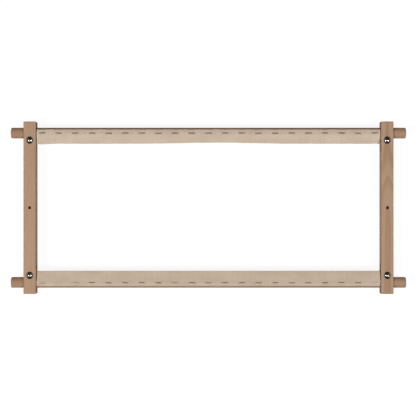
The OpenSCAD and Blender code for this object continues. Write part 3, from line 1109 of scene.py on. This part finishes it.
class SCROLL_OT_washers(bpy.types.Operator):
    """Stamps the four washers, rolled over on one side"""

    bl_idname = "scroll_frame.washers"
    bl_label = "Washers"

    def execute(self, context):
        looks = context.scene.scroll_washers
        segments, roll, burr = 72, 0.38 * MM, 0.1 * MM
        zinc = plated("zinc_plating", looks, 1500, 0.01 * MM)
        for side in SIDES:
            for edge in EDGES:
                node = f"washer_{side}_{edge}"
                low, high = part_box(node)
                centre = (middle(node).x, middle(node).y, low.z)
                outer, inner, tall = (high.x - low.x) / 2, looks.bore / 2, high.z - low.z
                profile = corner_arc((outer - roll, roll), roll, -90, 0, 5)
                profile += corner_arc((outer - burr, tall - burr), burr, 0, 90, 2)
                profile += corner_arc((inner + burr, tall - burr), burr, 90, 180, 2)
                profile += corner_arc((inner + roll, roll), roll, 180, 270, 5)
                shape = Shape()
                shape.lathe(profile, centre, segments, ring=True)
                put(
                    f"zinc_washer_{side}_{edge}",
                    shape.points,
                    shape.faces,
                    zinc,
                    f"{side}_{edge}_washer",
                    (node,),
                    sharp=40,
                )
        return {"FINISHED"}


class SCROLL_OT_wing_nuts(bpy.types.Operator):
    """Casts the four wing nuts: the CAD shape with its wings blended into the hub"""

    bl_idname = "scroll_frame.wing_nuts"
    bl_label = "Wing Nuts"

    def execute(self, context):
        looks = context.scene.scroll_wing_nuts
        casting = plated("cast_zinc", looks, 1900, 0.035 * MM)
        for side in SIDES:
            for edge in EDGES:
                self.cast(looks, casting, side, edge)
        return {"FINISHED"}

    def cast(self, looks, casting, side, edge):
        """Smooths a copy of the CAD nut, and keeps its bore and reach as the CAD has them."""
        node = f"wing_nut_{side}_{edge}"
        weld_reach, fewest_points = 1e-6, 500
        low, high = (np.array(p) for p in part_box(node))
        bolt = middle(f"clamp_bolt_{side}_{edge}")
        mould = bpy.data.objects.new("mould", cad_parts[node].data.copy())
        bpy.context.scene.collection.objects.link(mould)
        weld = mould.modifiers.new("weld", "WELD")
        weld.merge_threshold = weld_reach
        remesh = mould.modifiers.new("remesh", "REMESH")
        remesh.mode = "VOXEL"
        remesh.voxel_size = looks.grid
        even = mould.modifiers.new("smooth", "SMOOTH")
        even.factor = 0.5
        even.iterations = looks.rounds
        shaped = mould.evaluated_get(bpy.context.evaluated_depsgraph_get()).to_mesh()
        points = np.array([v.co for v in shaped.vertices], float)
        faces = [tuple(p.vertices) for p in shaped.polygons]
        mould.to_mesh_clear()
        bpy.data.objects.remove(mould)
        if len(points) < fewest_points:
            raise RuntimeError(f"the casting of {node} came out empty")
        off = points[:, :2] - np.array([bolt.x, bolt.y])
        reach = np.linalg.norm(off, axis=1)
        tight = (reach < looks.bore) & (reach > 0)
        points[tight, :2] += off[tight] * (looks.bore / reach[tight] - 1)[:, None]
        points = np.clip(points, low, high)
        put(
            f"cast_nut_{side}_{edge}",
            points,
            faces,
            casting,
            f"{side}_{edge}_nut",
            (node,),
        )


class SCROLL_OT_studio(bpy.types.Operator):
    """Sets the white floor, the two softboxes, the room's light and the camera"""

    bl_idname = "scroll_frame.studio"
    bl_label = "Studio"

    def execute(self, context):
        looks = context.scene.scroll_studio
        context.scene.view_settings.view_transform = "Standard"
        self.floor(looks)
        self.room(looks, context.scene)
        softbox_share, spot_share = 1.06, 0.43
        # The left lamps stand further out and are stronger, and a spot hangs by each softbox
        for side, aside, level in (("left", -2.4, 1.1), ("right", 2.1, 0.9)):
            power = looks.lamp_power * level
            softbox, spot = (1.3 * aside, -1.6, 5.1), (0.83 * aside, -0.8, 3.9)
            self.lamp(f"softbox_{side}", softbox, looks.lamp_size, softbox_share * power, False)
            self.lamp(f"spot_{side}", spot, looks.spot_size, spot_share * power, True)
        self.camera(looks, context.scene)
        return {"FINISHED"}

    def floor(self, looks):
        """A wide round floor, white to the camera and to mirrors and clear from below.

        Under the frame its glow carries painted shadows.
        """
        radius, segments = 6, 96
        angles = [TURN * k / segments for k in range(segments)]
        points = [(radius * math.cos(a), radius * math.sin(a), 0.0) for a in angles]
        mesh = bpy.data.meshes.new("floor")
        mesh.from_pydata(points, [], [tuple(range(segments))])
        floor = bpy.data.objects.new("floor", mesh)
        bpy.context.scene.collection.objects.link(floor)

        finish = Finish("white_floor")
        finish.nodes.remove(finish.surface)
        white = {"Color": (1, 1, 1, 1), "Strength": looks.backdrop}
        glow = self.shaded(finish, looks, finish.node("ShaderNodeEmission", white))
        shadow = finish.node("ShaderNodeBsdfDiffuse", {"Color": (0.12, 0.12, 0.12, 1)})
        shown = finish.node("ShaderNodeAddShader", {0: glow.outputs[0], 1: shadow.outputs[0]})
        bounce = finish.node("ShaderNodeBsdfDiffuse", {"Color": (*[looks.bounce] * 3, 1)})
        path = finish.node("ShaderNodeLightPath").outputs
        rays = [path[f"Is {kind} Ray"] for kind in ("Camera", "Glossy", "Transmission")]
        top = finish.blend(finish.largest(*rays), bounce, shown)
        clear = finish.node("ShaderNodeBsdfTransparent")
        from_below = finish.node("ShaderNodeNewGeometry").outputs["Backfacing"]
        both = finish.blend(from_below, top, clear)
        finish.links.new(both.outputs[0], finish.nodes["Material Output"].inputs["Surface"])
        mesh.materials.append(finish.material)

    def shaded(self, finish, looks, glow):
        """Paints shadows into the floor's glow under the rails, and under the rollers and strips.

        A painted shadow is full up to the first of two distances and gone at the second."""
        painted_shadow_colour = (0.035, 0.012, 0.005, 1)
        rail_reach = (3.2 * MM, 10.5 * MM), (0.0, 0.15)
        strip_reach = (0.2, 0.33), (0.0, 14 * MM)
        strip_y = ROLLER_Y - 5.5 * MM
        shades = []
        for side in SIDES:
            node = f"{side}_side_rail"
            shades.append((node, tuple(middle(node)), *rail_reach, looks.rail_shade))
        for toward in EDGES.values():
            centre = (0.0, toward * strip_y, 0.0)
            shades.append(("left_side_rail", centre, *strip_reach, looks.roller_shade))
        for carrier, centre, reach_x, reach_y, darkness in shades:
            place = finish.node("ShaderNodeTexCoord", object=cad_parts[carrier])
            x, y, _ = finish.split(finish.vector("SUBTRACT", place.outputs["Object"], centre))
            painted_shadow = finish.times(
                finish.fade(finish.size(x), *reach_x),
                finish.fade(finish.size(y), *reach_y),
                darkness,
            )
            # The painted shadow: a warm near-black glow mixed into the floor's white one
            dark = finish.node("ShaderNodeEmission", {"Color": painted_shadow_colour, "Strength": 1.0})
            glow = finish.blend(painted_shadow, glow, dark)
        return glow

    def room(self, looks, scene):
        """White behind the floor; metal mirrors dim walls at left and right of a dark room."""
        world = scene.world or bpy.data.worlds.new("room")
        scene.world = world
        world.use_nodes = True
        world.node_tree.nodes.clear()
        finish = Finish.of(world)
        path = finish.node("ShaderNodeLightPath").outputs
        aside = finish.size(finish.split(finish.place("Generated"))[0])
        walls = finish.times(finish.step(aside, 0.5, 0.95), path["Is Glossy Ray"], looks.walls)
        level = finish.node("ShaderNodeMix", {0: path["Is Camera Ray"]}, data_type="FLOAT")
        finish.feed(level.inputs[2], finish.add(walls, looks.ambient))
        finish.feed(level.inputs[3], 1.0)
        light = {"Color": (1, 1, 1, 1), "Strength": level.outputs[0]}
        sky = finish.node("ShaderNodeBackground", light)
        output = finish.node("ShaderNodeOutputWorld")
        finish.links.new(sky.outputs[0], output.inputs["Surface"])

    def lamp(self, name, place, size, power, mirrored):
        """A square lamp over the frame; metal only mirrors the small ones."""
        data = bpy.data.lights.new(name, "AREA")
        data.shape = "SQUARE"
        data.size = size
        data.energy = power
        lamp = bpy.data.objects.new(name, data)
        bpy.context.scene.collection.objects.link(lamp)
        lamp.location = place
        lamp.rotation_mode = "QUATERNION"
        lamp.rotation_quaternion = (-lamp.location).to_track_quat("-Z", "Y")
        lamp.visible_glossy = mirrored

    def camera(self, looks, scene):
        """Looks straight down on the frame, a little beside its middle as the photograph does."""
        beside = (-0.88 * MM, -0.44 * MM)
        data = bpy.data.cameras.new("camera")
        data.sensor_width = 36
        data.lens = data.sensor_width / 2 / math.tan(looks.view_angle / 2)
        camera = bpy.data.objects.new("camera", data)
        scene.collection.objects.link(camera)
        camera.location = (*beside, FRONT_Z + looks.distance)
        scene.camera = camera


STEPS = (
    SCROLL_OT_rails,
    SCROLL_OT_rollers,
    SCROLL_OT_webbing,
    SCROLL_OT_staples,
    SCROLL_OT_bolts,
    SCROLL_OT_washers,
    SCROLL_OT_wing_nuts,
    SCROLL_OT_studio,
)
LOOKS = {
    "scroll_rails": RailLooks,
    "scroll_rollers": RollerLooks,
    "scroll_webbing": WebbingLooks,
    "scroll_staples": StapleLooks,
    "scroll_bolts": BoltLooks,
    "scroll_washers": WasherLooks,
    "scroll_wing_nuts": WingNutLooks,
    "scroll_studio": StudioLooks,
}


class SCROLL_PT_sidebar(bpy.types.Panel):
    """Lists each group of pieces with its sizes and colours"""

    bl_idname = "SCROLL_PT_sidebar"
    bl_label = "Scroll Frame"
    bl_space_type = "VIEW_3D"
    bl_region_type = "UI"
    bl_category = "Scroll Frame"

    def draw(self, context):
        for step, name in zip(STEPS, LOOKS):
            box = self.layout.box()
            box.operator(step.bl_idname)
            looks = getattr(context.scene, name)
            for key in LOOKS[name].__annotations__:
                box.prop(looks, key)


def register():
    for kind in (*LOOKS.values(), *STEPS, SCROLL_PT_sidebar):
        bpy.utils.register_class(kind)
    for name, kind in LOOKS.items():
        setattr(bpy.types.Scene, name, PointerProperty(type=kind))


def unregister():
    for name in LOOKS:
        delattr(bpy.types.Scene, name)
    for kind in reversed((*LOOKS.values(), *STEPS, SCROLL_PT_sidebar)):
        bpy.utils.unregister_class(kind)


def main():
    register()
    bpy.ops.scroll_frame.rails()
    bpy.ops.scroll_frame.rollers()
    bpy.ops.scroll_frame.webbing()
    bpy.ops.scroll_frame.staples()
    bpy.ops.scroll_frame.bolts()
    bpy.ops.scroll_frame.washers()
    bpy.ops.scroll_frame.wing_nuts()
    bpy.ops.scroll_frame.studio()


if __name__ == "__main__":
    main()
